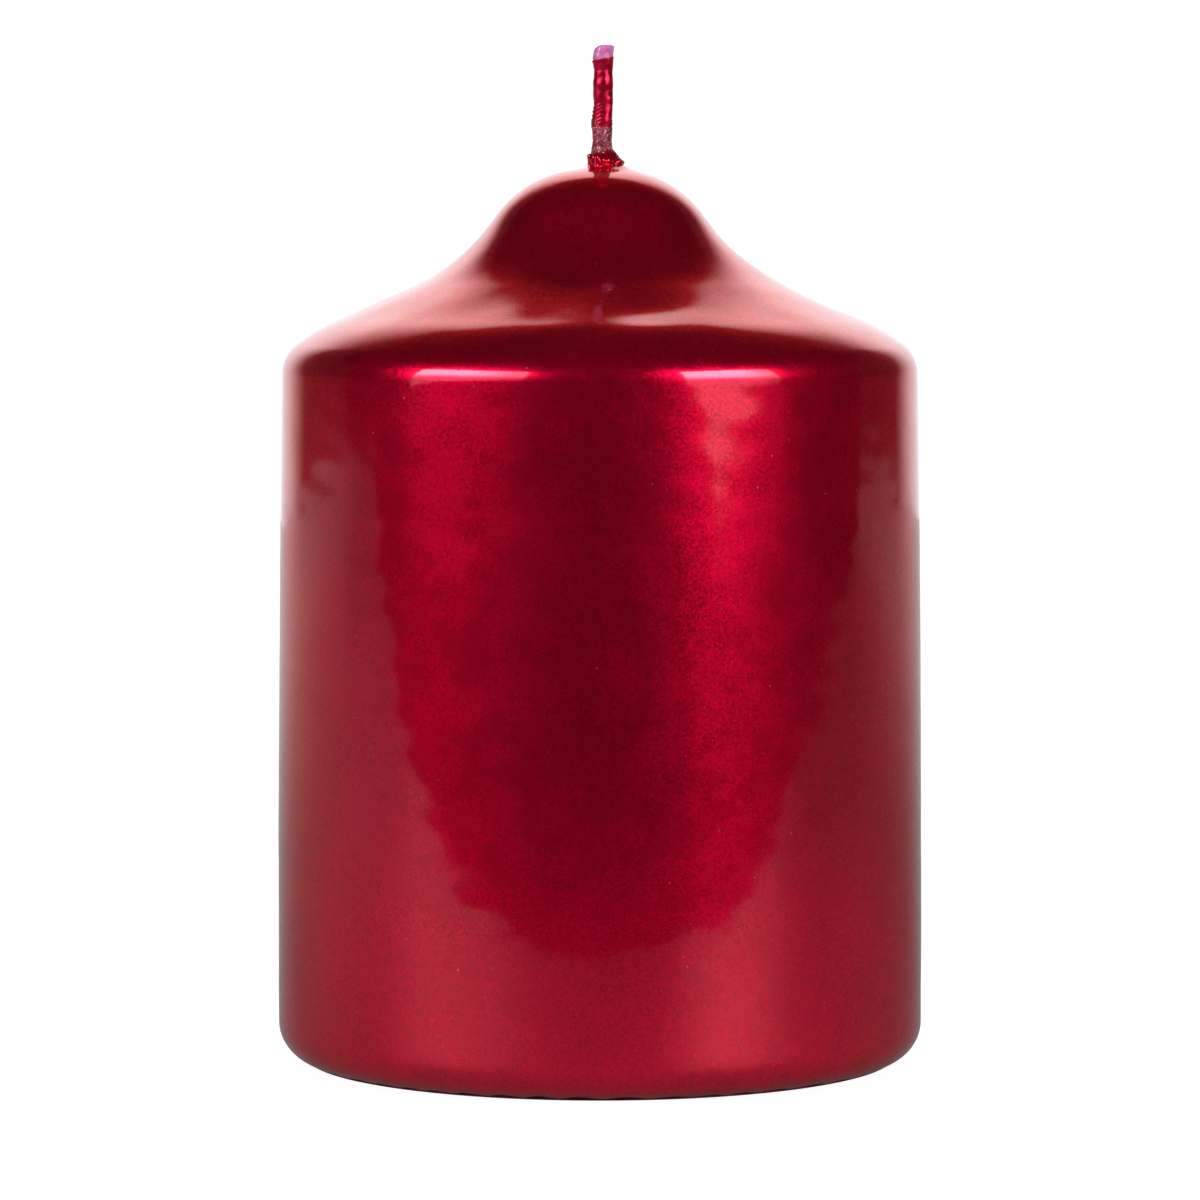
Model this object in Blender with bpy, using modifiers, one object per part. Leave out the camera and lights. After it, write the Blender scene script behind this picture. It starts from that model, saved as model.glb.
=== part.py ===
"""Metallic-lacquered pillar candle, 58 mm across and 80 mm tall, with 11 mm of wick standing on it.

Run it with: blender --background --python part.py

Metres, +Z up. The origin is the centre of the base, on the surface that the candle stands on.

The candle is pressed wax, dipped twice. From the inside out it is built of:
  wax_core             pressed paraffin, bored through for the wick and recessed for its holder
  overdip_coat         a millimetre of dyed, harder wax
  lacquer_film         the metallic lacquer, which ends just above the base
  wick_strand_*        a flat plait of three cotton strands, from the holder to the tip
  wick_sustainer       the tinplate holder crimped round the foot of the wick
  lacquer_collar       the ragged ring of lacquer where the wick leaves the dome
  wick_lacquer_sleeve  lacquer that climbed the lower part of the wick
  wick_wax_sheath      clear dyed wax round the upper part of the wick
"""

import math

import bpy

MM = 0.001

# Overall sizes.
BODY_RADIUS = 29.0 * MM
BODY_HEIGHT = 80.0 * MM
WICK_STAND = 11.0 * MM
LAYER_GAP = 0.3 * MM  # left between neighbouring pieces that touch on the real candle

# Outer outline, walked from the wick outwards and down. Each slope is the angle below level.
DOME_RADIUS = 10.0 * MM
DOME_SLOPE = math.radians(53)
FLANK_LENGTH = 1.1 * MM
NECK_RADIUS = 18.3 * MM
NECK_SLOPE = math.radians(27)
ROOF_SLOPE = math.radians(22.3)
EAVE_RADIUS = 16.7 * MM
EAVE_SLOPE = math.radians(38)
RIM_RADIUS = 3.3 * MM
SHOULDER_RADIUS = 28.5 * MM
BASE_FILLET = 3.4 * MM
LEVEL = 0.0
UPRIGHT = math.pi / 2

# Coats.
FILM_THICKNESS = 0.35 * MM
COAT_THICKNESS = 1.0 * MM
FILM_EDGE_HEIGHT = 0.5 * MM
COAT_EDGE_SLOPE = math.radians(135)

# Bore and the recess for the holder, cut into the core from below.
BORE_RADIUS = 1.2 * MM
NECK_BORE_RADIUS = 1.5 * MM
NECK_BORE_TOP = 5.6 * MM
RECESS_RADIUS = 8.4 * MM
RECESS_DEPTH = 1.4 * MM

# Sheet-metal wick holder.
SHEET = 0.25 * MM
FLANGE_RADIUS = 8.0 * MM
FLANGE_HEIGHT = 0.75 * MM
BEAD_RADIUS = 5.0 * MM
BEAD_HALF_WIDTH = 0.8 * MM
BEAD_RISE = 0.3 * MM
CRIMP_RADIUS = 1.1 * MM
CRIMP_TOP = 5.2 * MM

# Three-strand flat plait.
STRAND_RADIUS = 0.18 * MM
PLAIT_HALF_WIDTH = 0.5 * MM
PLAIT_HALF_DEPTH = 0.38 * MM
PLAIT_PITCH = 6.4 * MM
PLAIT_POINTS_PER_PITCH = 9
STRAND_FOOT = 1.1 * MM

# The exposed wick stands a little off the candle's axis and leans a little.
WICK_OFFSET = 0.2 * MM
WICK_LEAN = math.radians(0.6)
WICK_BEND_START = 74.0 * MM

# Coatings on the exposed wick.
JACKET_BORE = 0.8 * MM
JACKET_RADIUS = 1.0 * MM
JACKET_EDGE = 0.06 * MM
SLEEVE_SPAN = (0.3 * MM, 4.1 * MM)
SHEATH_SPAN = (4.2 * MM, 10.7 * MM)
COLLAR_BORE = 1.15 * MM
COLLAR_RADIUS = 1.8 * MM
COLLAR_SPAN = (0.3 * MM, 1.5 * MM)

# Facets of the turned pieces.
BODY_STEPS = 44
WICK_STEPS = 20
MERGE = 0.00001


def arc(start, radius, end_slope, points):
    """An arc tangent to the last point of an outline, up to end_slope. A point is (r, z, slope)."""
    r, z, slope = start
    turn = math.copysign(radius, end_slope - slope)
    found = []
    for k in range(1, points + 1):
        s = slope + (end_slope - slope) * k / points
        found.append(
            (
                r + turn * (math.sin(s) - math.sin(slope)),
                z - turn * (math.cos(slope) - math.cos(s)),
                s,
            )
        )
    return found


def straight(start, length):
    """The end of a straight run from the last point of an outline."""
    r, z, slope = start
    return [(r + length * math.cos(slope), z - length * math.sin(slope), slope)]


def crown_outline(wall_slope):
    """The outer outline from the wick hole to the top of the wall: dome, neck, roof, eave and rim.

    The roof is hollowed by as much as it takes for the rim to end at SHOULDER_RADIUS.
    """
    line = [(BORE_RADIUS, BODY_HEIGHT, LEVEL)]
    line += arc(line[-1], DOME_RADIUS, DOME_SLOPE, 5)
    line += straight(line[-1], FLANK_LENGTH)
    line += arc(line[-1], NECK_RADIUS, NECK_SLOPE, 3)
    eave_reach = EAVE_RADIUS * (math.sin(EAVE_SLOPE) - math.sin(ROOF_SLOPE))
    rim_reach = RIM_RADIUS * (math.sin(wall_slope) - math.sin(EAVE_SLOPE))
    roof_reach = SHOULDER_RADIUS - eave_reach - rim_reach - line[-1][0]
    roof_radius = roof_reach / (math.sin(NECK_SLOPE) - math.sin(ROOF_SLOPE))
    line += arc(line[-1], roof_radius, ROOF_SLOPE, 2)
    line += arc(line[-1], EAVE_RADIUS, EAVE_SLOPE, 2)
    line += arc(line[-1], RIM_RADIUS, wall_slope, 4)
    return line


def outer_outline(last_slope):
    """The whole outer outline, down the gently swelling wall and round the base fillet to last_slope."""
    swell = BODY_RADIUS - SHOULDER_RADIUS
    wall_height = crown_outline(UPRIGHT)[-1][1] - BASE_FILLET
    line = crown_outline(UPRIGHT - math.atan(2 * swell / wall_height))
    top = line[-1][1]
    for share in (0.4, 1.0):
        left = 1 - share
        r = BODY_RADIUS - swell * left**2
        z = BASE_FILLET + (top - BASE_FILLET) * left
        line.append((r, z, UPRIGHT - math.atan(2 * swell * left / wall_height)))
    if last_slope > UPRIGHT:
        line += arc(line[-1], BASE_FILLET, last_slope, 3)
    return line


def inset(outline, depth):
    """(r, z) points at this depth under the outline's surface."""
    return [(r - depth * math.sin(s), z - depth * math.cos(s)) for r, z, s in outline]


def material(name, colour, roughness, metallic=0.0):
    made = bpy.data.materials.new(name)
    made.use_nodes = True
    shader = made.node_tree.nodes["Principled BSDF"]
    shader.inputs["Base Color"].default_value = (*colour, 1.0)
    shader.inputs["Roughness"].default_value = roughness
    shader.inputs["Metallic"].default_value = metallic
    return made


def turned(name, profile, steps, finish, home):
    """A closed profile of (r, z) points turned about Z. It runs down its outer side and back up inside."""
    mesh = bpy.data.meshes.new(name)
    count = len(profile)
    edges = [(k, (k + 1) % count) for k in range(count)]
    mesh.from_pydata([(r, 0.0, z) for r, z in profile], edges, [])
    mesh.materials.append(finish)
    piece = bpy.data.objects.new(name, mesh)
    home.objects.link(piece)
    screw = piece.modifiers.new("Turn", "SCREW")
    screw.axis = "Z"
    screw.angle = 2 * math.pi
    screw.steps = steps
    screw.render_steps = steps
    screw.use_merge_vertices = True
    screw.merge_threshold = MERGE
    screw.use_smooth_shade = True
    return piece


def make_wax_core(finish, home):
    depth = FILM_THICKNESS + COAT_THICKNESS + 2 * LAYER_GAP
    corner = BASE_FILLET - depth
    foot_radius = BODY_RADIUS - depth
    profile = inset(outer_outline(UPRIGHT), depth)[:-1]
    fillet = arc((foot_radius, corner, UPRIGHT), corner, math.pi, 3)
    profile += [(foot_radius, corner), *((r, z) for r, z, _ in fillet)]
    profile += [
        (RECESS_RADIUS, 0.0),
        (RECESS_RADIUS, RECESS_DEPTH),
        (NECK_BORE_RADIUS, RECESS_DEPTH),
        (NECK_BORE_RADIUS, NECK_BORE_TOP),
        (BORE_RADIUS, NECK_BORE_TOP),
    ]
    return turned("wax_core", profile, BODY_STEPS, finish, home)


def make_overdip_coat(finish, home):
    outer_depth = FILM_THICKNESS + LAYER_GAP
    inner_depth = outer_depth + COAT_THICKNESS
    outside = inset(outer_outline(COAT_EDGE_SLOPE), outer_depth)
    inside = inset(outer_outline(UPRIGHT), inner_depth)
    edge = (BODY_RADIUS - inner_depth, outside[-1][1])
    profile = outside + [edge] + inside[::-1]
    return turned("overdip_coat", profile, BODY_STEPS, finish, home)


def make_lacquer_film(finish, home):
    edge_slope = math.acos(FILM_EDGE_HEIGHT / BASE_FILLET - 1)
    outline = outer_outline(edge_slope)
    profile = inset(outline, 0.0) + inset(outline, FILM_THICKNESS)[::-1]
    return turned("lacquer_film", profile, BODY_STEPS, finish, home)


def make_wick_sustainer(finish, home):
    """A round flange with a stiffening bead, and the crimp tube that grips the wick."""
    under = FLANGE_HEIGHT
    top = under + SHEET
    bead = [
        (BEAD_RADIUS - BEAD_HALF_WIDTH, 0.0),
        (BEAD_RADIUS, BEAD_RISE),
        (BEAD_RADIUS + BEAD_HALF_WIDTH, 0.0),
    ]
    profile = [
        (CRIMP_RADIUS - SHEET, CRIMP_TOP),
        (CRIMP_RADIUS, CRIMP_TOP),
        (CRIMP_RADIUS, top + SHEET),
        (CRIMP_RADIUS + SHEET, top),
        *((r, top + rise) for r, rise in bead),
        (FLANGE_RADIUS, top),
        (FLANGE_RADIUS, under),
        *((r, under + rise) for r, rise in reversed(bead)),
        (CRIMP_RADIUS, under),
        (CRIMP_RADIUS - SHEET, under + SHEET),
    ]
    return turned("wick_sustainer", profile, BODY_STEPS, finish, home)


def wick_shift(z):
    """How far the wick's middle is from the candle's axis at height z, along +X."""
    if z <= WICK_BEND_START:
        return 0.0
    if z < BODY_HEIGHT:
        share = (z - WICK_BEND_START) / (BODY_HEIGHT - WICK_BEND_START)
        return WICK_OFFSET * share * share * (3 - 2 * share)
    return WICK_OFFSET + (z - BODY_HEIGHT) * math.tan(WICK_LEAN)


def make_wick_strand(name, phase, finish, home):
    """One strand of the plait: it swings across once a pitch and passes over and under twice."""
    tip = BODY_HEIGHT + WICK_STAND
    count = round((tip - STRAND_FOOT) / PLAIT_PITCH * PLAIT_POINTS_PER_PITCH)
    curve = bpy.data.curves.new(name, "CURVE")
    curve.dimensions = "3D"
    curve.bevel_depth = STRAND_RADIUS
    curve.bevel_resolution = 1
    curve.use_fill_caps = True
    spline = curve.splines.new("POLY")
    spline.points.add(count)
    for k, point in enumerate(spline.points):
        z = STRAND_FOOT + (tip - STRAND_FOOT) * k / count
        turn = 2 * math.pi * z / PLAIT_PITCH + phase
        x = wick_shift(z) + PLAIT_HALF_WIDTH * math.sin(turn)
        y = PLAIT_HALF_DEPTH * math.sin(2 * turn)
        point.co = (x, y, z, 1.0)
    curve.materials.append(finish)
    strand = bpy.data.objects.new(name, curve)
    home.objects.link(strand)
    return strand


def make_wick_jacket(name, bore, radius, span, finish, home):
    """A turned jacket round the exposed wick. span is its foot and top above the dome."""
    foot, top = span
    profile = [
        (bore, top),
        (radius - JACKET_EDGE, top),
        (radius, top - JACKET_EDGE),
        (radius, foot + JACKET_EDGE),
        (radius - JACKET_EDGE, foot),
        (bore, foot),
    ]
    jacket = turned(name, profile, WICK_STEPS, finish, home)
    jacket.location = (WICK_OFFSET, 0.0, BODY_HEIGHT)
    jacket.rotation_euler = (0.0, WICK_LEAN, 0.0)
    return jacket


def make_collar(finish, home):
    """The ring of lacquer on the dome: wide at its foot, drawn in where it grips the wick."""
    foot, top = COLLAR_SPAN
    shoulder = foot + 0.5 * (top - foot)
    waist = 0.5 * (COLLAR_BORE + COLLAR_RADIUS)
    profile = [
        (COLLAR_BORE, top),
        (waist, top),
        (COLLAR_RADIUS, shoulder),
        (COLLAR_RADIUS, foot + JACKET_EDGE),
        (COLLAR_RADIUS - JACKET_EDGE, foot),
        (COLLAR_BORE, foot),
    ]
    collar = turned("lacquer_collar", profile, WICK_STEPS, finish, home)
    collar.location = (WICK_OFFSET, 0.0, BODY_HEIGHT)
    return collar


def build():
    for old in list(bpy.data.objects):
        bpy.data.objects.remove(old)
    home = bpy.data.collections.new("pillar_candle")
    bpy.context.scene.collection.children.link(home)

    pressed_wax = material("pressed_wax", (0.86, 0.80, 0.68), 0.6)
    overdip_wax = material("overdip_wax", (0.42, 0.01, 0.03), 0.4)
    lacquer = material("metallic_lacquer", (0.60, 0.0, 0.02), 0.3, 0.8)
    cotton = material("wick_cotton", (0.80, 0.25, 0.48), 0.85)
    wick_wax = material("wick_wax", (0.50, 0.01, 0.05), 0.25)
    tinplate = material("tinplate", (0.75, 0.74, 0.72), 0.35, 1.0)

    make_wax_core(pressed_wax, home)
    make_overdip_coat(overdip_wax, home)
    make_lacquer_film(lacquer, home)
    make_wick_sustainer(tinplate, home)
    for k, name in enumerate(("wick_strand_a", "wick_strand_b", "wick_strand_c")):
        make_wick_strand(name, 2 * math.pi * k / 3, cotton, home)
    make_wick_jacket(
        "wick_wax_sheath", JACKET_BORE, JACKET_RADIUS, SHEATH_SPAN, wick_wax, home
    )
    make_wick_jacket(
        "wick_lacquer_sleeve", JACKET_BORE, JACKET_RADIUS, SLEEVE_SPAN, lacquer, home
    )
    make_collar(lacquer, home)


build()
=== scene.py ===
"""The looks of the metallic red pillar candle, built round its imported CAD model.

Metres, +Z up, the camera looks along +Y. Every piece rides on the one body, "root".
The candle's skin is a turned outline with real waviness, dents and a scalloped lower edge.
The wick has three twisted yarns, a pink waxed tip, a lumpy wax sheath, a glittery lacquer sleeve and
a ragged collar. The underside has its own pressed wax, dip line and stamped wick holder.
"""

import math

import bpy
import numpy as np
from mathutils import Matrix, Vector


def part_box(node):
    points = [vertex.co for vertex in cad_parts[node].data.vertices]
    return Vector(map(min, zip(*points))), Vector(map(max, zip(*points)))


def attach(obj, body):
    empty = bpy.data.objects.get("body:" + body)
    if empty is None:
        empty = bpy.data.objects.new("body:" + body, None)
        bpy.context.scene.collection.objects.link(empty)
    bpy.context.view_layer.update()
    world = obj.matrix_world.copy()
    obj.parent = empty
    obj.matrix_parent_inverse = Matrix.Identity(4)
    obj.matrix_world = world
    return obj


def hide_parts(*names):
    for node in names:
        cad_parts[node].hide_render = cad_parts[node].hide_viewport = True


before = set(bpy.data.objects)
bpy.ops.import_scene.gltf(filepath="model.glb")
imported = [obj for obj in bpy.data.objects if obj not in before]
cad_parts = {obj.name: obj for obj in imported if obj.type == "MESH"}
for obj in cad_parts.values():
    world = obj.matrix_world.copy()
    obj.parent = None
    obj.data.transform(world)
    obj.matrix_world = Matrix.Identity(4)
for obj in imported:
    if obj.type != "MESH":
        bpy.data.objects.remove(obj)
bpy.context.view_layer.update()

MM = 0.001

# ---------------------------------------------------------------- sizes, from the imported CAD model where it has them

FILM_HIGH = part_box("lacquer_film")[1]
SHEATH_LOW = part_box("wick_wax_sheath")[0]
STRAND_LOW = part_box("wick_strand_a")[0]
TIN_LOW, TIN_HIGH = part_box("wick_sustainer")

BODY_RADIUS = FILM_HIGH.x
BODY_HEIGHT = FILM_HIGH.z

# The outer outline, as in the CAD model, walked from the wick outwards and down.
DOME_RADIUS = 10.0 * MM
DOME_SLOPE = math.radians(53)
FLANK_LENGTH = 1.1 * MM
NECK_RADIUS = 18.3 * MM
NECK_SLOPE = math.radians(27)
ROOF_SLOPE = math.radians(22.3)
EAVE_RADIUS = 16.7 * MM
EAVE_SLOPE = math.radians(38)
RIM_RADIUS = 3.3 * MM
SHOULDER_RADIUS = BODY_RADIUS - 0.5 * MM
BASE_FILLET = 3.4 * MM
BORE_RADIUS = 1.2 * MM
UPRIGHT = math.pi / 2

FILM_THICKNESS = 0.3 * MM
OVERDIP_DEPTH = FILM_THICKNESS + 0.02 * MM
OVERDIP_THICKNESS = 1.0 * MM
CORE_DEPTH = FILM_THICKNESS + 1.1 * MM

# The skin's mesh is as fine as 200,000 triangles allow. Layers under it are coarser.
SKIN_SEGMENTS = 384
SKIN_STEP = 0.5 * MM
HIDDEN_STEP = 4 * SKIN_STEP

# The lacquer's lower edge hangs in scallops.
SCALLOPS = 49
EDGE_HEIGHT = 0.1 * MM
SCALLOP_RISE = 0.4 * MM
LIP_DROP = 0.06 * MM

# The lacquer climbs the wick in a meniscus round a middle that is a little right of the axis.
MENISCUS_HEIGHT = 0.75 * MM
MENISCUS_RADIUS = 1.0 * MM
MENISCUS_WIDTH = 1.1 * MM
MENISCUS_MIDDLE = 0.2 * MM


# ---------------------------------------------------------------- outlines

def arc(start, radius, end_slope, step):
    """An arc tangent to the last point of an outline. A point is (r, z, slope below level)."""
    r, z, slope = start
    turn = math.copysign(radius, end_slope - slope)
    count = max(2, round(abs(radius * (end_slope - slope)) / step))
    found = []
    for k in range(1, count + 1):
        s = slope + (end_slope - slope) * k / count
        found.append(
            (
                r + turn * (math.sin(s) - math.sin(slope)),
                z - turn * (math.cos(slope) - math.cos(s)),
                s,
            )
        )
    return found


def straight(start, length, step):
    """A straight run from the last point of an outline, at its slope."""
    r, z, slope = start
    count = max(1, round(length / step))
    return [
        (r + length * k / count * math.cos(slope), z - length * k / count * math.sin(slope), slope)
        for k in range(1, count + 1)
    ]


def crown_outline(wall_slope, step):
    """Dome, neck, roof, eave and rim, from the wick to the top of the wall."""
    line = [(BORE_RADIUS, BODY_HEIGHT, 0.0)]
    line += arc(line[-1], DOME_RADIUS, DOME_SLOPE, step)
    line += straight(line[-1], FLANK_LENGTH, step)
    line += arc(line[-1], NECK_RADIUS, NECK_SLOPE, step)
    eave_reach = EAVE_RADIUS * (math.sin(EAVE_SLOPE) - math.sin(ROOF_SLOPE))
    rim_reach = RIM_RADIUS * (math.sin(wall_slope) - math.sin(EAVE_SLOPE))
    roof_reach = SHOULDER_RADIUS - eave_reach - rim_reach - line[-1][0]
    roof_radius = roof_reach / (math.sin(NECK_SLOPE) - math.sin(ROOF_SLOPE))
    line += arc(line[-1], roof_radius, ROOF_SLOPE, step)
    line += arc(line[-1], EAVE_RADIUS, EAVE_SLOPE, step)
    line += arc(line[-1], RIM_RADIUS, wall_slope, 0.5 * step)
    return line


def body_outline(step):
    """The outline down to the top of the base fillet. The wall swells a little on the way down."""
    swell = BODY_RADIUS - SHOULDER_RADIUS
    wall_height = crown_outline(UPRIGHT, step)[-1][1] - BASE_FILLET
    line = crown_outline(UPRIGHT - math.atan(2 * swell / wall_height), step)
    top = line[-1][1]
    count = round((top - BASE_FILLET) / step)
    for k in range(1, count + 1):
        left = 1 - k / count
        slope = UPRIGHT - math.atan(2 * swell * left / wall_height)
        line.append((BODY_RADIUS - swell * left**2, BASE_FILLET + (top - BASE_FILLET) * left, slope))
    return line


def inset(outline, depth):
    """Points (r, z) at this depth under an outline."""
    return [(r - depth * math.sin(s), z - depth * math.cos(s)) for r, z, s in outline]


# ---------------------------------------------------------------- mesh helpers

def ripple(points, wavelength, amount, seed, waves=40):
    """A smooth random field with this wavelength and this typical size, at each point."""
    dice = np.random.default_rng(seed)
    directions = dice.normal(size=(3, waves))
    directions /= np.linalg.norm(directions, axis=0)
    numbers = 2 * math.pi / (wavelength * dice.uniform(0.7, 1.4, waves))
    phases = dice.uniform(0, 2 * math.pi, waves)
    return amount * math.sqrt(2 / waves) * np.cos(points @ (directions * numbers) + phases).sum(axis=1)


def smooth_step(value, low, high):
    """0 below low, 1 above high, and a smooth rise between them."""
    share = np.clip((value - low) / (high - low), 0.0, 1.0)
    return share * share * (3 - 2 * share)


def hump(value, middle, width):
    """1 at the middle, and a smooth fall to 0 on both sides."""
    return np.exp(-(((value - middle) / width) ** 2))


def ring_mesh(name, rows, finish):
    """A closed, ring-shaped mesh. rows has the shape (rows, segments, 3), and both directions wrap."""
    count, segments, _ = rows.shape
    index = np.arange(count * segments).reshape(count, segments)
    below = np.roll(index, -1, axis=0)
    faces = np.stack(
        [index, below, np.roll(below, -1, axis=1), np.roll(index, -1, axis=1)], axis=-1
    ).reshape(-1, 4)
    return mesh_object(name, rows.reshape(-1, 3), faces.tolist(), finish)


def capped_mesh(name, rows, finish):
    """A closed mesh like a sausage: rows wrap round, and each end is closed by a fan."""
    count, segments, _ = rows.shape
    points = np.vstack([rows.reshape(-1, 3), rows[0].mean(axis=0), rows[-1].mean(axis=0)])
    index = np.arange(count * segments).reshape(count, segments)
    after = np.roll(index, -1, axis=1)
    faces = np.stack([index[:-1], index[1:], after[1:], after[:-1]], axis=-1).reshape(-1, 4).tolist()
    first, last = count * segments, count * segments + 1
    faces += [[first, a, b] for a, b in zip(index[0], after[0])]
    faces += [[last, b, a] for a, b in zip(index[-1], after[-1])]
    return mesh_object(name, points, faces, finish)


def mesh_object(name, points, faces, finish, smooth=True):
    mesh = bpy.data.meshes.new(name)
    mesh.from_pydata(np.asarray(points).tolist(), [], faces)
    mesh.validate()
    mesh.materials.append(finish)
    if smooth:
        mesh.shade_smooth()
    made = bpy.data.objects.new(name, mesh)
    bpy.context.scene.collection.objects.link(made)
    return made


def angles(segments):
    return np.linspace(0, 2 * math.pi, segments, endpoint=False)


def turned_rows(outline, segments):
    """Rows of points round the axis, one for each point of an outline. A point starts with r and z."""
    turn = angles(segments)
    r = np.array([p[0] for p in outline])[:, None]
    z = np.array([p[1] for p in outline])[:, None]
    return np.dstack([r * np.cos(turn), r * np.sin(turn), np.broadcast_to(z, (len(z), segments))])


# ---------------------------------------------------------------- materials

class Nodes:
    """A short way to write a node tree."""

    def __init__(self, name):
        self.material = bpy.data.materials.new(name)
        self.material.use_nodes = True
        self.tree = self.material.node_tree
        self.shader = self.tree.nodes["Principled BSDF"]
        self.place = self.add("ShaderNodeTexCoord").outputs["Object"]

    def add(self, kind, inputs=None, **settings):
        node = self.tree.nodes.new(kind)
        for key, value in settings.items():
            setattr(node, key, value)
        for key, value in (inputs or {}).items():
            self.set(node, key, value)
        return node

    def set(self, node, key, value):
        socket = node.inputs[key]
        if isinstance(value, bpy.types.NodeSocket):
            self.tree.links.new(value, socket)
        else:
            socket.default_value = value

    def finish(self, **inputs):
        for key, value in inputs.items():
            self.set(self.shader, key.replace("_", " "), value)
        return self.material

    def noise(self, scale, detail, roughness=0.5, place=None):
        return self.add(
            "ShaderNodeTexNoise",
            {"Vector": place or self.place, "Scale": scale, "Detail": detail, "Roughness": roughness},
        ).outputs["Fac"]

    def cells(self, size, place=None):
        """Random cells of about this size."""
        return self.add("ShaderNodeTexVoronoi", {"Vector": place or self.place, "Scale": 1.0 / size})

    def lot(self, cells):
        """A random number for each cell, from 0 to 1."""
        return self.add("ShaderNodeSeparateColor", {0: cells.outputs["Color"]}).outputs[0]

    def ramp(self, value, low, high, bottom=0.0, top=1.0):
        """A smooth change from bottom to top while the value goes from low to high."""
        return self.add(
            "ShaderNodeMapRange",
            {0: value, 1: low, 2: high, 3: bottom, 4: top},
            interpolation_type="SMOOTHSTEP",
        ).outputs[0]

    def math(self, operation, *values):
        return self.add("ShaderNodeMath", dict(enumerate(values)), operation=operation).outputs[0]

    def vector(self, operation, *values, scale=None):
        node = self.add("ShaderNodeVectorMath", dict(enumerate(values)), operation=operation)
        if scale is not None:
            self.set(node, "Scale", scale)
        return node.outputs[0]

    def mix(self, share, first, second):
        node = self.add("ShaderNodeMix", data_type="RGBA")
        self.set(node, 0, share)
        self.set(node, 6, (*first, 1.0) if isinstance(first, tuple) else first)
        self.set(node, 7, (*second, 1.0) if isinstance(second, tuple) else second)
        return node.outputs[2]

    def bump(self, height, distance):
        inputs = {"Height": height, "Distance": distance, "Strength": 1.0}
        return self.add("ShaderNodeBump", inputs).outputs[0]

    def axes(self):
        """The X, Y and Z of the place."""
        return self.add("ShaderNodeSeparateXYZ", {0: self.place}).outputs


def flaked(nodes, normal, flake_size, tilt):
    """The normal, tipped at random in each cell, as flakes of that size lie in a lacquer."""
    random = nodes.cells(flake_size).outputs["Color"]
    tipped = nodes.vector("SCALE", nodes.vector("SUBTRACT", random, (0.5, 0.5, 0.5)), scale=tilt)
    return nodes.vector("NORMALIZE", nodes.vector("ADD", normal, tipped))


def metallic_lacquer():
    """Deep red flakes under a clear coat with orange peel, faint pits and dust specks."""
    nodes = Nodes("metallic_lacquer")
    flake_size = 0.17 * MM

    pit_cells = nodes.cells(1.7 * MM)
    pitted = nodes.math("LESS_THAN", nodes.lot(pit_cells), 0.1)
    pit = nodes.math("MULTIPLY", pitted, nodes.ramp(pit_cells.outputs["Distance"], 0.03, 0.09, 1.0, 0.0))
    fine_peel = nodes.math("MULTIPLY", nodes.noise(3500.0, 2.0), 0.12)
    orange_peel = nodes.math("ADD", nodes.noise(700.0, 2.0), fine_peel)
    surface = nodes.bump(nodes.math("SUBTRACT", orange_peel, nodes.math("MULTIPLY", pit, 2.0)), 0.001 * MM)

    flake_tone = nodes.ramp(nodes.lot(nodes.cells(flake_size)), 0.0, 1.0, 0.8, 1.14)
    patch_tone = nodes.ramp(nodes.noise(140.0, 3.0), 0.3, 0.7, 0.93, 1.05)
    red = nodes.vector("SCALE", (1.0, 0.001, 0.048), scale=nodes.math("MULTIPLY", flake_tone, patch_tone))

    speck_cells = nodes.cells(1.5 * MM)
    chosen = nodes.math("GREATER_THAN", nodes.lot(speck_cells), 0.72)
    small = nodes.math("LESS_THAN", speck_cells.outputs["Distance"], 0.055)
    speck = nodes.math("MULTIPLY", chosen, small)

    # The lacquer drained to the foot and dried there last, so fewer of its flakes lie flat.
    flat_share = nodes.ramp(nodes.axes()["Z"], 10 * MM, 27 * MM, 0.68, 0.84)
    return nodes.finish(
        Base_Color=nodes.mix(nodes.math("MULTIPLY", speck, 0.6), red, (0.95, 0.4, 0.45)),
        Metallic=flat_share,
        Specular_Tint=(0.5, 0.12, 0.18, 1.0),
        Roughness=nodes.ramp(nodes.noise(300.0, 2.0), 0.3, 0.7, 0.25, 0.29),
        Normal=flaked(nodes, surface, flake_size, 0.035),
        Coat_Weight=1.0,
        Coat_Roughness=0.07,
        Coat_IOR=1.5,
        Coat_Normal=surface,
    )


def overdip_wax():
    """Dyed wax, seen as a dark crimson line under the lacquer's edge. Its dark colour is painted shade for
    the gap under that edge.
    """
    nodes = Nodes("overdip_wax")
    tone = nodes.noise(700.0, 3.0)
    return nodes.finish(
        # Painted shade: both colours are darker than the wax, to stand in for the shadow in the gap under
        # the lacquer's edge.
        Base_Color=nodes.mix(tone, (0.1, 0.002, 0.01), (0.28, 0.006, 0.03)),
        Roughness=nodes.ramp(tone, 0.2, 0.8, 0.35, 0.5),
        Normal=nodes.bump(nodes.noise(1500.0, 2.0), 0.01 * MM),
        Subsurface_Weight=0.15,
        Subsurface_Scale=1.0 * MM,
    )


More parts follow.
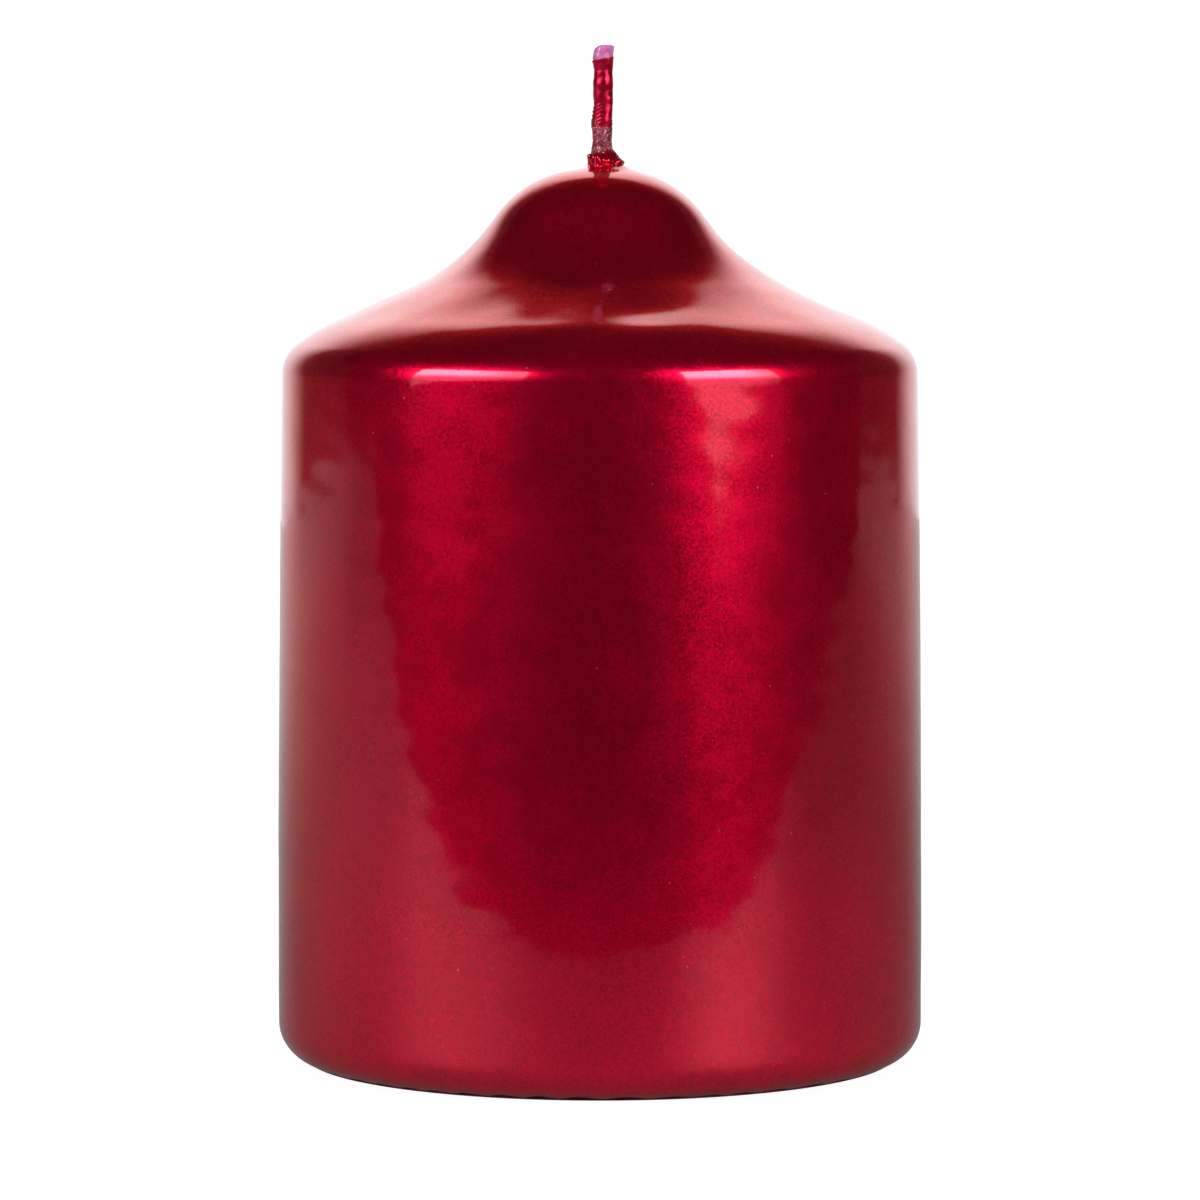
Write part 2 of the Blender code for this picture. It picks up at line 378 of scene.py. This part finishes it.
def pressed_wax():
    """Paraffin granules pressed together, with fine joints between them."""
    nodes = Nodes("pressed_wax")
    drift = nodes.add("ShaderNodeTexNoise", {"Vector": nodes.place, "Scale": 500.0}).outputs["Color"]
    place = nodes.vector("ADD", nodes.place, nodes.vector("SCALE", drift, scale=1.2 * MM))
    grains = nodes.cells(1.3 * MM, place)
    grain_tone = nodes.lot(grains)
    joint = nodes.ramp(grains.outputs["Distance"], 0.35, 0.75)
    pale = nodes.mix(grain_tone, (0.78, 0.73, 0.66), (0.88, 0.85, 0.79))
    height = nodes.math("SUBTRACT", nodes.noise(2500.0, 3.0), nodes.math("MULTIPLY", joint, 1.2))
    return nodes.finish(
        Base_Color=nodes.mix(nodes.math("MULTIPLY", joint, 0.5), pale, (0.6, 0.52, 0.45)),
        Roughness=nodes.ramp(grain_tone, 0.0, 1.0, 0.5, 0.68),
        Normal=nodes.bump(height, 0.06 * MM),
        Subsurface_Weight=0.35,
        Subsurface_Scale=2.0 * MM,
    )


def wick_wax():
    """Dyed wax over the plait, filled with fine pigment, so that even its highlights are red."""
    nodes = Nodes("wick_wax")
    tone = nodes.ramp(nodes.noise(900.0, 3.0), 0.35, 0.7)
    return nodes.finish(
        Base_Color=nodes.mix(tone, (0.50, 0.002, 0.03), (0.86, 0.015, 0.09)),
        Metallic=0.55,
        Specular_Tint=(1.0, 0.35, 0.5, 1.0),
        Roughness=nodes.ramp(nodes.noise(1500.0, 2.0), 0.3, 0.7, 0.24, 0.34),
        Normal=nodes.bump(nodes.noise(1300.0, 2.0), 0.03 * MM),
        Subsurface_Weight=0.3,
        Subsurface_Scale=0.6 * MM,
        Subsurface_Radius=(1.0, 0.1, 0.2),
        Coat_Weight=0.15,
        Coat_Roughness=0.1,
    )


def tip_wax():
    """Waxed cotton at the cut tip: pink, and light comes through it."""
    nodes = Nodes("tip_wax")
    tone = nodes.noise(2000.0, 3.0)
    fibres = nodes.noise(7000.0, 2.0)
    return nodes.finish(
        Base_Color=nodes.mix(nodes.ramp(tone, 0.3, 0.7), (0.9, 0.18, 0.56), (0.96, 0.42, 0.74)),
        Roughness=nodes.ramp(fibres, 0.3, 0.7, 0.25, 0.5),
        Normal=nodes.bump(nodes.math("ADD", tone, nodes.math("MULTIPLY", fibres, 0.2)), 0.06 * MM),
        Subsurface_Weight=0.6,
        Subsurface_Scale=0.8 * MM,
        Subsurface_Radius=(1.0, 0.35, 0.8),
        Coat_Weight=0.4,
        Coat_Roughness=0.15,
    )


def glitter_lacquer():
    """The same lacquer where it dried rough on the wick: dull maroon with glinting flakes."""
    nodes = Nodes("glitter_lacquer")
    flake_size = 0.1 * MM
    glint = nodes.ramp(nodes.lot(nodes.cells(flake_size)), 0.8, 0.97)
    tone = nodes.noise(1500.0, 3.0)
    dull = nodes.mix(nodes.ramp(tone, 0.35, 0.65), (0.20, 0.014, 0.032), (0.50, 0.09, 0.14))
    crust = nodes.bump(nodes.noise(4500.0, 3.0), 0.08 * MM)
    return nodes.finish(
        Base_Color=nodes.mix(glint, dull, (0.9, 0.5, 0.55)),
        Metallic=0.35,
        Roughness=nodes.math("SUBTRACT", 0.5, nodes.math("MULTIPLY", glint, 0.22)),
        Normal=flaked(nodes, crust, flake_size, 0.6),
    )


def cotton():
    """Cotton yarn, natural inside the candle and dyed where it comes near the top."""
    nodes = Nodes("wick_cotton")
    dyed = nodes.ramp(nodes.axes()["Z"], 70 * MM, 85 * MM)
    fibres = nodes.noise(11000.0, 3.0, 0.6)
    return nodes.finish(
        Base_Color=nodes.mix(dyed, (0.82, 0.77, 0.68), (0.75, 0.2, 0.42)),
        Roughness=nodes.ramp(fibres, 0.3, 0.7, 0.7, 0.95),
        Normal=nodes.bump(fibres, 0.05 * MM),
        Sheen_Weight=0.3,
    )


def tinplate():
    """Thin stamped steel with a rolled grain and a film of wax."""
    nodes = Nodes("tinplate")
    squeeze = {"Vector": nodes.place, "Scale": (1.0, 30.0, 1.0)}
    grain = nodes.noise(150.0, 3.0, place=nodes.add("ShaderNodeMapping", squeeze).outputs[0])
    polish = nodes.ramp(grain, 0.3, 0.7, 0.22, 0.34)
    film = nodes.ramp(nodes.noise(350.0, 3.0), 0.4, 0.65)
    return nodes.finish(
        Base_Color=nodes.mix(film, (0.72, 0.71, 0.69), (0.6, 0.57, 0.52)),
        Metallic=nodes.ramp(film, 0.0, 1.0, 1.0, 0.7),
        Roughness=nodes.math("ADD", polish, nodes.math("MULTIPLY", film, 0.2)),
        Normal=nodes.bump(grain, 0.006 * MM),
    )


# ---------------------------------------------------------------- the candle's layers

def scallop(turn):
    """How far the lacquer's edge is drawn up at each angle, from 0 to 1. The scallops aren't all alike."""
    drift = 1.1 * np.sin(3 * turn + 0.4) + 0.8 * np.sin(7 * turn + 1.9) + 0.5 * np.sin(11 * turn)
    wave = 0.5 - 0.5 * np.cos(SCALLOPS * turn + drift)
    height = 0.75 + 0.25 * np.sin(5 * turn + 0.7) * np.sin(2 * turn + 2.1)
    return height * wave**0.8


def fillet_rows(end_slopes, depth, count):
    """Rows down the base fillet, this far under its surface. They end at a slope given for each angle."""
    turn = angles(len(end_slopes))
    radius = BASE_FILLET - depth
    rows = []
    for k in range(1, count + 1):
        s = UPRIGHT + (end_slopes - UPRIGHT) * k / count
        r = BODY_RADIUS - BASE_FILLET + radius * np.sin(s)
        z = BASE_FILLET + radius * np.cos(s)
        rows.append(np.stack([r * np.cos(turn), r * np.sin(turn), z], axis=-1))
    return np.array(rows)


def surface_waves(points):
    """How far the dipped surface stands out: swells, sags and dimples, and deeper dents on the neck."""
    swell = ripple(points, 16 * MM, 0.010 * MM, 11)
    sag = ripple(points * np.array([1.0, 1.0, 1.6]), 6.5 * MM, 0.0032 * MM, 12)
    dimple = ripple(points, 2.6 * MM, 0.0010 * MM, 13)
    dent = ripple(points, 9 * MM, 0.030 * MM, 14)
    height = points[:, 2]
    on_neck = smooth_step(height, 65 * MM, 68 * MM) * (1 - smooth_step(height, 74 * MM, 77 * MM))
    return swell + sag + dimple + dent * on_neck


def waved(rows, slopes):
    """Rows turned from an outline with these slopes, moved out by the waves, except at the wick."""
    turn = angles(rows.shape[1])
    outwards = np.dstack(
        [
            np.outer(np.sin(slopes), np.cos(turn)),
            np.outer(np.sin(slopes), np.sin(turn)),
            np.broadcast_to(np.cos(slopes)[:, None], rows.shape[:2]),
        ]
    )
    flat = rows.reshape(-1, 3)
    fade = smooth_step(np.hypot(flat[:, 0], flat[:, 1]), 1.2 * MM, 4 * MM)
    return rows + outwards * (surface_waves(flat) * fade).reshape(rows.shape[:2])[..., None]


def meniscus(rows):
    """How far the lacquer climbs at each point: more on the wick's right than on its left."""
    reach = np.hypot(rows[..., 0] - MENISCUS_MIDDLE, rows[..., 1])
    side = 0.55 + 0.45 * np.cos(np.arctan2(rows[..., 1], rows[..., 0]))
    return MENISCUS_HEIGHT * side * hump(reach, MENISCUS_RADIUS, MENISCUS_WIDTH)


def make_lacquer_skin(finish):
    """The film: its outside down to the scalloped edge, and its inside back up."""
    line = body_outline(SKIN_STEP)
    outer = waved(turned_rows(line, SKIN_SEGMENTS), np.array([slope for _, _, slope in line]))
    outer[..., 2] += meniscus(outer)
    edge_rise = EDGE_HEIGHT + SCALLOP_RISE * scallop(angles(SKIN_SEGMENTS))
    edge_slopes = UPRIGHT + np.arcsin(1 - edge_rise / BASE_FILLET)
    outer_fillet = fillet_rows(edge_slopes, depth=0.0, count=16)
    inner_fillet = fillet_rows(edge_slopes, depth=FILM_THICKNESS, count=8)
    lip = 0.5 * (outer_fillet[-1:] + inner_fillet[-1:])
    lip[..., 2] -= LIP_DROP
    fillet_waves = surface_waves(outer_fillet.reshape(-1, 3)).reshape(outer_fillet.shape[:2])
    outer_fillet[..., :2] *= (1 + fillet_waves / BODY_RADIUS)[..., None]
    inner = turned_rows(inset(line[::6] + line[-1:], FILM_THICKNESS), SKIN_SEGMENTS)
    rows = np.concatenate([outer, outer_fillet, lip, inner_fillet[::-1], inner[::-1]])
    skin = ring_mesh("lacquer_skin", rows, finish)
    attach(skin, "root")
    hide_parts("lacquer_film")


def make_overdip_layer(finish):
    """The dyed layer under the lacquer. It shows at the base only, where it ends in a thin bead."""
    line = body_outline(HIDDEN_STEP)
    outer = inset(line, OVERDIP_DEPTH)
    radius = BASE_FILLET - OVERDIP_DEPTH
    fillet_steps = 12
    for k in range(1, fillet_steps + 1):
        s = UPRIGHT + math.radians(74) * k / fillet_steps
        r = BODY_RADIUS - BASE_FILLET + radius * math.sin(s)
        outer.append((r, BASE_FILLET + radius * math.cos(s)))
    bead = outer[-1][0]
    outer += [
        (bead + 0.1 * MM, 0.16 * MM),
        (bead + 0.14 * MM, 0.08 * MM),
        (bead + 0.04 * MM, 0.02 * MM),
        (bead - 0.5 * MM, 0.02 * MM),
    ]
    inner = inset(line, OVERDIP_DEPTH + OVERDIP_THICKNESS)
    inner.append((bead - 0.5 * MM, 0.9 * MM))
    rows = turned_rows(outer + inner[::-1], 200)
    layer = ring_mesh("overdip_layer", rows, finish)
    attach(layer, "root")
    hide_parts("overdip_coat")


def make_pressed_core(finish):
    """The pressed body. Only its base shows: a flat ring of granules round the wick holder's recess."""
    sides = inset(body_outline(HIDDEN_STEP), CORE_DEPTH)
    foot = BODY_RADIUS - BASE_FILLET - 0.2 * MM
    recess = 8.4 * MM
    base_steps = 30
    base = [(foot, 0.9 * MM), (foot, 0.15 * MM), (foot - 0.15 * MM, 0.0)]
    base += [(foot + (recess - foot) * k / base_steps, 0.0) for k in range(1, base_steps)]
    base += [
        (recess + 0.2 * MM, 0.0),
        (recess, 0.2 * MM),
        (recess, 1.2 * MM),
        (recess - 0.2 * MM, 1.4 * MM),
        (2.2 * MM, 1.4 * MM),
        (1.6 * MM, 1.5 * MM),
        (1.55 * MM, 5.6 * MM),
        (1.2 * MM, 5.6 * MM),
    ]
    rows = turned_rows(sides + base, 240)
    # The granules stand up from the base by different heights, and the lowest is just clear of the table.
    grain = ripple(rows.reshape(-1, 3), 1.2 * MM, 0.02 * MM, 21).reshape(rows.shape[:2])
    on_base = smooth_step(-rows[..., 2], -0.05 * MM, 0.0)
    rows[..., 2] += on_base * (0.01 * MM + np.clip(grain, 0.0, None))
    core = ring_mesh("pressed_core", rows, finish)
    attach(core, "root")
    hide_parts("wax_core")


# ---------------------------------------------------------------- the wick

# The exposed wick from the front, in mm: a height above the dome's top, and the left and right sides.
WICK_SIDES = (
    (0.0, -1.0, 1.3),
    (2.5, -0.65, 1.05),
    (4.2, -0.8, 1.1),
    (5.8, -0.55, 1.15),
    (7.6, -0.65, 1.2),
    (8.8, -0.55, 1.15),
    (9.9, -0.75, 1.25),
    (11.0, -0.55, 1.3),
)
WICK_DEPTH_SHARE = 0.82
RIB_PITCH = 0.34 * MM
RIB_HEIGHT = 0.035 * MM

# Ends above the dome's top.
SHEATH_FOOT = SHEATH_LOW.z - BODY_HEIGHT - 0.45 * MM
SHEATH_TOP = 10.0 * MM
SLEEVE_FOOT = 0.5 * MM
SLEEVE_TOP = 4.35 * MM
STRAND_TOP = 10.4 * MM

YARN_RADIUS = 0.24 * MM
YARN_TWIST = 1.6 * MM
PLAIT_PITCH = 6.4 * MM
PLAIT_WIDTH = 0.48 * MM
PLAIT_DEPTH = 0.3 * MM
WICK_LEAN = 0.25 * MM


def wick_sides(height):
    """The wick's middle and half width at a height above the dome, in metres."""
    table = np.array(WICK_SIDES)
    left = np.interp(height / MM, table[:, 0], table[:, 1])
    right = np.interp(height / MM, table[:, 0], table[:, 2])
    return 0.5 * (left + right) * MM, 0.5 * (right - left) * MM


def jacket_rows(heights, segments, lump, seed, shrink=0.0):
    """Rings of points round the wick at these heights above the dome, with lumps of this size."""
    turn = angles(segments)
    rows = []
    for height in heights:
        middle, half = wick_sides(height)
        x = middle + (half - shrink) * np.cos(turn)
        y = (half - shrink) * WICK_DEPTH_SHARE * np.sin(turn)
        rows.append(np.stack([x, y, np.full(segments, BODY_HEIGHT + height)], axis=-1))
    rows = np.array(rows)
    flat = rows.reshape(-1, 3)
    lumps = ripple(flat, 1.6 * MM, lump, seed) + ripple(flat, 0.6 * MM, 0.3 * lump, seed + 1)
    # Fine ribs slant round the left side, where the wax is thin over the twisted strands.
    height = flat[:, 2] - BODY_HEIGHT
    ribbed = smooth_step(height, 3.9 * MM, 4.6 * MM) * (1 - smooth_step(height, 5.4 * MM, 6.2 * MM))
    ribbed *= smooth_step(0.35 * MM - flat[:, 0], 0.0, 0.4 * MM)
    ribs = RIB_HEIGHT * ribbed * np.cos(2 * math.pi * (height - 0.5 * flat[:, 0]) / RIB_PITCH)
    outward = np.stack([np.cos(turn), np.sin(turn), np.zeros(segments)], axis=-1)
    return rows + outward[None] * (lumps + ribs).reshape(rows.shape[:2])[..., None]


def make_wick_sheath(finish):
    """The dyed wax round the wick. Its top edge slants down to the left, where the bare tip shows."""
    heights = np.linspace(SHEATH_TOP, SHEATH_FOOT, 120)
    outer = jacket_rows(heights, 64, 0.02 * MM, 31)
    near_top = smooth_step(heights, SHEATH_TOP - 0.6 * MM, SHEATH_TOP)[:, None]
    across = (outer[..., 0] - outer[..., 0].mean()) / MM
    outer[..., 2] -= near_top * (0.18 - 0.2 * across) * MM
    inner = jacket_rows(heights[::-6], 64, 0.0, 31, shrink=0.16 * MM)
    inner[-1, :, 2] = outer[0, :, 2] - 0.02 * MM
    rows = np.concatenate([outer, inner])
    sheath = ring_mesh("wick_sheath", rows, finish)
    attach(sheath, "root")
    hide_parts("wick_wax_sheath")


def make_wick_tip(finish):
    """The cut end of the wick: three waxed strands side by side under a thin film."""
    heights = np.concatenate([np.linspace(8.8, 10.85, 24), (10.95, 11.02, 11.05)]) * MM
    rows = jacket_rows(heights, 64, 0.025 * MM, 41, shrink=0.05 * MM)
    # It is thinner below the sheath's top edge, so that it stays inside, and rounded at the cut.
    inside = 1 - smooth_step(heights, 9.5 * MM, 9.75 * MM)
    widths = 1 - 0.16 * inside
    widths[-3:] *= (0.97, 0.88, 0.7)
    middle = rows.mean(axis=1, keepdims=True)
    rows = middle + (rows - middle) * widths[:, None, None]
    # The cut is a little lower and rounder on the left.
    across = np.clip(-(rows[..., 0] - 0.3 * MM) / MM, 0.0, 1.2)
    cut = smooth_step(rows[..., 2] - BODY_HEIGHT, 10.3 * MM, 11.0 * MM)
    rows[..., 2] -= cut * across**2 * 0.5 * MM
    tip = capped_mesh("wick_tip", rows[::-1], finish)
    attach(tip, "root")


def make_wick_sleeve(finish):
    """The crusty lacquer round the lower part of the wick."""
    heights = np.linspace(SLEEVE_TOP, SLEEVE_FOOT, 80)
    outer = jacket_rows(heights, 72, 0.03 * MM, 51)
    crust = ripple(outer.reshape(-1, 3), 0.35 * MM, 0.018 * MM, 53).reshape(outer.shape[:2])
    outer[..., :2] += crust[..., None]
    inner = jacket_rows(heights[::-8], 72, 0.0, 51, shrink=0.2 * MM)
    rows = np.concatenate([outer, inner])
    sleeve = ring_mesh("wick_sleeve", rows, finish)
    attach(sleeve, "root")
    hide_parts("wick_lacquer_sleeve")


def make_collar(finish):
    """The torn ring of lacquer at the wick's foot: wide on the right, and a flared lip on the left."""
    segments = 140
    turn = angles(segments)
    right = 0.5 + 0.5 * np.cos(turn)
    circle = np.stack([np.cos(turn), np.sin(turn), 0 * turn], axis=-1)
    ragged = ripple(circle, 0.45, 1.0, 61)
    torn = ripple(circle, 0.25, 1.0, 64)
    reach = (1.22 + 0.78 * right**1.5 + 0.07 * ragged) * MM
    lip = (1.25 - 0.62 * right + 0.08 * torn) * MM
    grip = (1.30 + 0.55 * right + 0.06 * ragged) * MM
    # Each row is a radius, from the wick (0) to the full reach (1), and a height.
    profile = (
        (0.0, 0.2 * grip),
        (-0.1, 0.8 * grip),
        (0.0, grip),
        (0.35, 0.55 * grip + 0.45 * lip),
        (0.75, 0.15 * grip + 0.85 * lip),
        (0.97, lip),
        (1.03, 0.88 * lip),
        (0.95, 0.6 * lip),
        (0.86, 0.35 * lip),
        (0.95, 0.12 * lip),
        (1.06, -0.02 * MM),
        (0.3, -0.15 * MM),
    )
    wick_radius = 0.88 * MM
    middle = 0.12 * MM
    rows = []
    for share, height in profile:
        r = wick_radius + (reach - wick_radius) * share
        z = np.broadcast_to(BODY_HEIGHT + height, r.shape)
        rows.append(np.stack([middle + r * np.cos(turn), 0.9 * r * np.sin(turn), z], axis=-1))
    rows = np.array(rows)
    flat = rows.reshape(-1, 3)
    crumple = ripple(flat, 0.7 * MM, 0.028 * MM, 62) + ripple(flat, 0.3 * MM, 0.007 * MM, 63)
    rows += crumple.reshape(rows.shape[:2])[..., None]
    collar = ring_mesh("lacquer_collar_ring", rows[::-1], finish)
    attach(collar, "root")
    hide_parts("lacquer_collar")


def make_wick_yarns(finish):
    """Three strands in a flat plait, each twisted, from the holder to just under the tip."""
    heights = np.arange(STRAND_LOW.z, BODY_HEIGHT + STRAND_TOP, 0.3 * MM)
    # The exposed wick stands a little right of the axis, and the hidden part leads up to that.
    lean = WICK_LEAN * smooth_step(heights, BODY_HEIGHT - 6 * MM, BODY_HEIGHT)
    turn = angles(14)
    for k, node in enumerate(("wick_strand_a", "wick_strand_b", "wick_strand_c")):
        phase = 2 * math.pi * (heights / PLAIT_PITCH + k / 3)
        x = lean + PLAIT_WIDTH * np.sin(phase)
        y = PLAIT_DEPTH * np.sin(2 * phase)
        plies = 0.9 + 0.1 * np.cos(4 * (turn + 2 * math.pi * heights[:, None] / YARN_TWIST))
        rows = np.stack(
            [
                x[:, None] + YARN_RADIUS * plies * np.cos(turn),
                y[:, None] + YARN_RADIUS * plies * np.sin(turn),
                np.broadcast_to(heights[:, None], plies.shape),
            ],
            axis=-1,
        )
        yarn = capped_mesh(f"wick_yarn_{'abc'[k]}", rows[::-1], finish)
        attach(yarn, "root")
        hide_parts(node)


def make_tin_holder(finish):
    """The stamped holder in the base recess: a disc with a bead and six ribs, and a crimped tube."""
    sheet = 0.2 * MM
    tube_radius = 0.98 * MM
    turn = angles(180)
    ribs = smooth_step(np.cos(6 * turn), 0.75, 0.95)
    radii = np.linspace(TIN_HIGH.x, 1.5 * MM, 44)[:, None]
    bead = 0.32 * MM * hump(radii, 5.4 * MM, 0.55 * MM)
    ribbed = smooth_step(radii, 1.9 * MM, 2.5 * MM) * (1 - smooth_step(radii, 3.9 * MM, 4.5 * MM))
    lift = 0.35 * MM * hump(radii, 1.5 * MM, 0.35 * MM)
    z = TIN_LOW.z + bead + 0.22 * MM * ribs * ribbed + lift
    disc = np.dstack([radii * np.cos(turn), radii * np.sin(turn), z])

    heights = np.linspace(0.0, 1.2, 12)[:, None] * MM
    crimp = 0.1 * smooth_step(np.cos(4 * turn), 0.0, 1.0)
    r = tube_radius * (1 - crimp * smooth_step(heights, 0.2 * MM, 0.9 * MM))
    z = np.broadcast_to(TIN_LOW.z + 0.45 * MM + heights * 3.2, r.shape)
    tube = np.dstack([r * np.cos(turn), r * np.sin(turn), z])

    inside = np.concatenate([disc, tube])
    outside = inside.copy()
    outside[: len(disc), :, 2] += sheet
    outside[len(disc):, :, :2] *= 1 + sheet / tube_radius
    rows = np.concatenate([outside[::-1], inside])
    holder = ring_mesh("tin_holder", rows, finish)
    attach(holder, "root")
    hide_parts("wick_sustainer")


# ---------------------------------------------------------------- stage, lights and camera

SOFTBOX_DISTANCE = 0.75
BACKDROP_HEIGHT = 1.05
CANDLE_MIDDLE = 0.045


def glow(nodes, seen, cast):
    """Emission that the camera sees at one strength, and that lights the candle at another."""
    camera = nodes.add("ShaderNodeLightPath").outputs["Is Camera Ray"]
    strength = nodes.add("ShaderNodeMapRange", {0: camera, 3: cast, 4: seen}).outputs[0]
    return {"Emission_Color": (1.0, 1.0, 1.0, 1.0), "Emission_Strength": strength}


# The table top's outline on the ground, in metres. The candle stands at the origin.
TABLE_OUTLINE = (
    (-1.95, -0.06),
    (-0.80, -0.165),
    (-0.20, -0.140),
    (0.10, -0.115),
    (0.42, -0.130),
    (0.80, 0.10),
    (1.90, 0.56),
    (1.40, 0.90),
    (-1.40, 0.90),
    (-1.80, 0.75),
    (-1.95, 0.45),
)
# The backdrop's line on the ground, from left to right.
BACKDROP_LINE = ((-1.95, 0.45), (-1.80, 0.75), (-1.40, 0.90), (1.40, 0.90), (1.70, 0.80), (1.90, 0.56))


def make_floor():
    """A pale table top. Its front edge, close to the candle, is mirrored as the lower edge of the haze."""
    nodes = Nodes("pale_floor")
    axes = nodes.axes()
    # The glow that lights the candle is a painted pool of light on the table: brighter to the left and
    # behind the candle, and dimmer near the front edge.
    sideways = nodes.ramp(axes["X"], -0.3, 0.1, 0.19, 0.05)
    behind = nodes.ramp(axes["Y"], 0.03, 0.5, 0.0, 0.24)
    # Painted shade: the table's colour darkens from the candle towards its front edge.
    painted_shade = nodes.ramp(axes["Y"], -0.13, 0.0, 0.06, 0.2)
    front = nodes.ramp(axes["Y"], -0.155, -0.125, 0.45, 1.0)
    cast = nodes.math("ADD", nodes.math("MULTIPLY", sideways, front), behind)
    material = nodes.finish(
        Base_Color=nodes.vector("SCALE", (1.0, 1.0, 1.0), scale=painted_shade),
        Roughness=0.55,
        Specular_IOR_Level=0.4,
        **glow(nodes, 0.93, cast),
    )
    points = [(x, y, 0.0) for x, y in TABLE_OUTLINE]
    floor = mesh_object("floor", points, [list(range(len(points)))], material, smooth=False)


def make_backdrop():
    """A white sheet behind the candle. The light on it is brightest high up, and widest low down."""
    nodes = Nodes("pale_backdrop")
    axes = nodes.axes()
    upward = nodes.ramp(axes["Z"], 0.05, 0.5, 1.05, 1.5)
    top_edge = nodes.ramp(axes["Z"], 0.92, 1.04, 1.0, 0.0)
    spread = nodes.math("ADD", nodes.math("ABSOLUTE", axes["X"]), nodes.math("MULTIPLY", axes["Z"], 0.55))
    sideways = nodes.ramp(spread, 0.5, 1.05, 1.0, 0.015)
    light = nodes.math("MULTIPLY", nodes.math("MULTIPLY", upward, top_edge), sideways)
    material = nodes.finish(
        Base_Color=(0.1, 0.1, 0.1, 1.0),
        Roughness=0.9,
        Specular_IOR_Level=0.0,
        **glow(nodes, 1.0, light),
    )
    count = len(BACKDROP_LINE)
    points = [(x, y, z) for z in (0.0, BACKDROP_HEIGHT) for x, y in BACKDROP_LINE]
    faces = [[k, k + 1, k + 1 + count, k + count] for k in range(count - 1)]
    mesh_object("backdrop", points, faces, material, smooth=False)


def make_world():
    """A dark studio, which the camera sees as white beyond the backdrop."""
    world = bpy.data.worlds.new("studio")
    bpy.context.scene.world = world
    world.use_nodes = True
    tree = world.node_tree
    background = tree.nodes["Background"]
    path = tree.nodes.new("ShaderNodeLightPath")
    strength = tree.nodes.new("ShaderNodeMapRange")
    strength.inputs[3].default_value = 0.008
    strength.inputs[4].default_value = 1.0
    background.inputs["Color"].default_value = (1.0, 1.0, 1.0, 1.0)
    tree.links.new(path.outputs["Is Camera Ray"], strength.inputs[0])
    tree.links.new(strength.outputs[0], background.inputs["Strength"])


def make_softbox(name, corners, peak, fade, dimmer):
    """A soft light that faces the candle.

    Corners are (azimuth, elevation) as seen from the candle, in degrees, and azimuth runs from the
    camera's side to the right. The light is dim below the first elevation of the fade and has its full
    strength above the second. It falls to under half between the dimmer's two azimuths.
    """
    nodes = Nodes(name)
    axes = nodes.axes()
    low, high = [CANDLE_MIDDLE + SOFTBOX_DISTANCE * math.tan(math.radians(e)) for e in fade]
    near, far = [SOFTBOX_DISTANCE * math.sin(math.radians(a)) for a in dimmer]
    light = nodes.math(
        "MULTIPLY",
        nodes.ramp(axes["Z"], low, high, 0.12 * peak, peak),
        nodes.ramp(axes["X"], near, far, 1.0, 0.4),
    )
    material = nodes.finish(
        Base_Color=(0.02, 0.02, 0.02, 1.0),
        Specular_IOR_Level=0.0,
        **glow(nodes, 0.0, light),
    )
    points = []
    for azimuth, elevation in corners:
        a = math.radians(azimuth)
        height = CANDLE_MIDDLE + SOFTBOX_DISTANCE * math.tan(math.radians(elevation))
        points.append((SOFTBOX_DISTANCE * math.sin(a), -SOFTBOX_DISTANCE * math.cos(a), height))
    panel = mesh_object(name, points, [list(range(len(points)))], material, smooth=False)
    panel.visible_camera = False


def make_camera():
    data = bpy.data.cameras.new("camera")
    data.lens = 171.1
    data.sensor_width = 36.0
    data.clip_start = 0.01
    camera = bpy.data.objects.new("camera", data)
    camera.location = (0.0, -0.5122, 0.0766)
    aim = Vector((0.0, 0.0, 0.0413))
    camera.rotation_euler = (aim - camera.location).to_track_quat("-Z", "Y").to_euler()
    bpy.context.scene.collection.objects.link(camera)
    bpy.context.scene.camera = camera


def main():
    lacquer = metallic_lacquer()
    make_lacquer_skin(lacquer)
    make_overdip_layer(overdip_wax())
    make_pressed_core(pressed_wax())
    make_wick_sheath(wick_wax())
    make_wick_tip(tip_wax())
    rough_lacquer = glitter_lacquer()
    make_wick_sleeve(rough_lacquer)
    make_collar(lacquer)
    make_wick_yarns(cotton())
    make_tin_holder(tinplate())

    make_floor()
    make_backdrop()
    make_world()
    left_corners = ((-70, 1.6), (-26, 8), (-26, 30), (-70, 30))
    right_corners = ((30, 3), (41, -0.6), (67, 3), (67, 30), (30, 30))
    make_softbox("softbox_left", left_corners, peak=8.8, fade=(9, 22), dimmer=(-46, -28))
    make_softbox("softbox_right", right_corners, peak=9.2, fade=(6, 19), dimmer=(48, 66))
    make_camera()
    bpy.context.scene.view_settings.view_transform = "Standard"


main()
